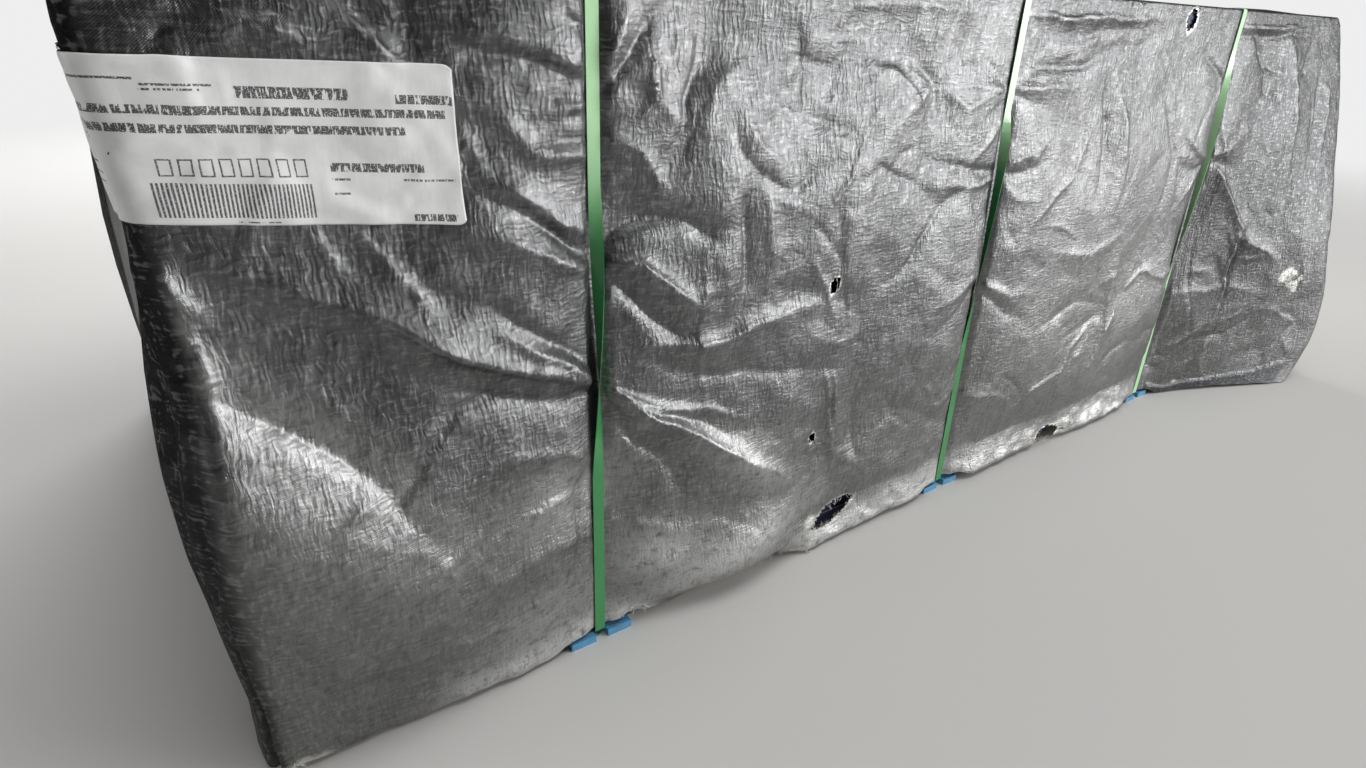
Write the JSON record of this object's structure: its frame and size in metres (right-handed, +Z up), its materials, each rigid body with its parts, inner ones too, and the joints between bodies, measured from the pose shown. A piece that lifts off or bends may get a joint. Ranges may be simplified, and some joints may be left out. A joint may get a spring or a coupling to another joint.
{
  "type": "bundle of oriented strand board",
  "caption": "Covered and strapped stack of full-size oriented strand board sheets on paired runner strips, with a blank-text delivery label",
  "frame": {"origin": "On the floor under the middle of the stack, which is the bottom centre of the whole bundle's box", "axes": "+X along the sheets from the labelled end to the flared end, +Y from the labelled front to the back, +Z up"},
  "size_m": [2.559, 1.5832, 0.8788],
  "materials": {
    "strand_board": "pressed wood strands, edges sealed dark blue",
    "runner_board": "sawn strand board, ends sealed light blue",
    "cover_film": "dark grey coated woven-poly sheet, semi-gloss, ribbed",
    "strap_plastic": "green polyester strapping",
    "label_paper": "white printed label, creased"
  },
  "bodies": {
    "root": {"osb_sheets": "strand_board", "runner_1_left": "runner_board", "runner_1_right": "runner_board", "runner_2_left": "runner_board", "runner_2_right": "runner_board", "runner_3_left": "runner_board", "runner_3_right": "runner_board", "cover": "cover_film", "strap_1": "strap_plastic", "strap_2": "strap_plastic", "strap_3": "strap_plastic", "label": "label_paper"}
  },
  "joints": []
}
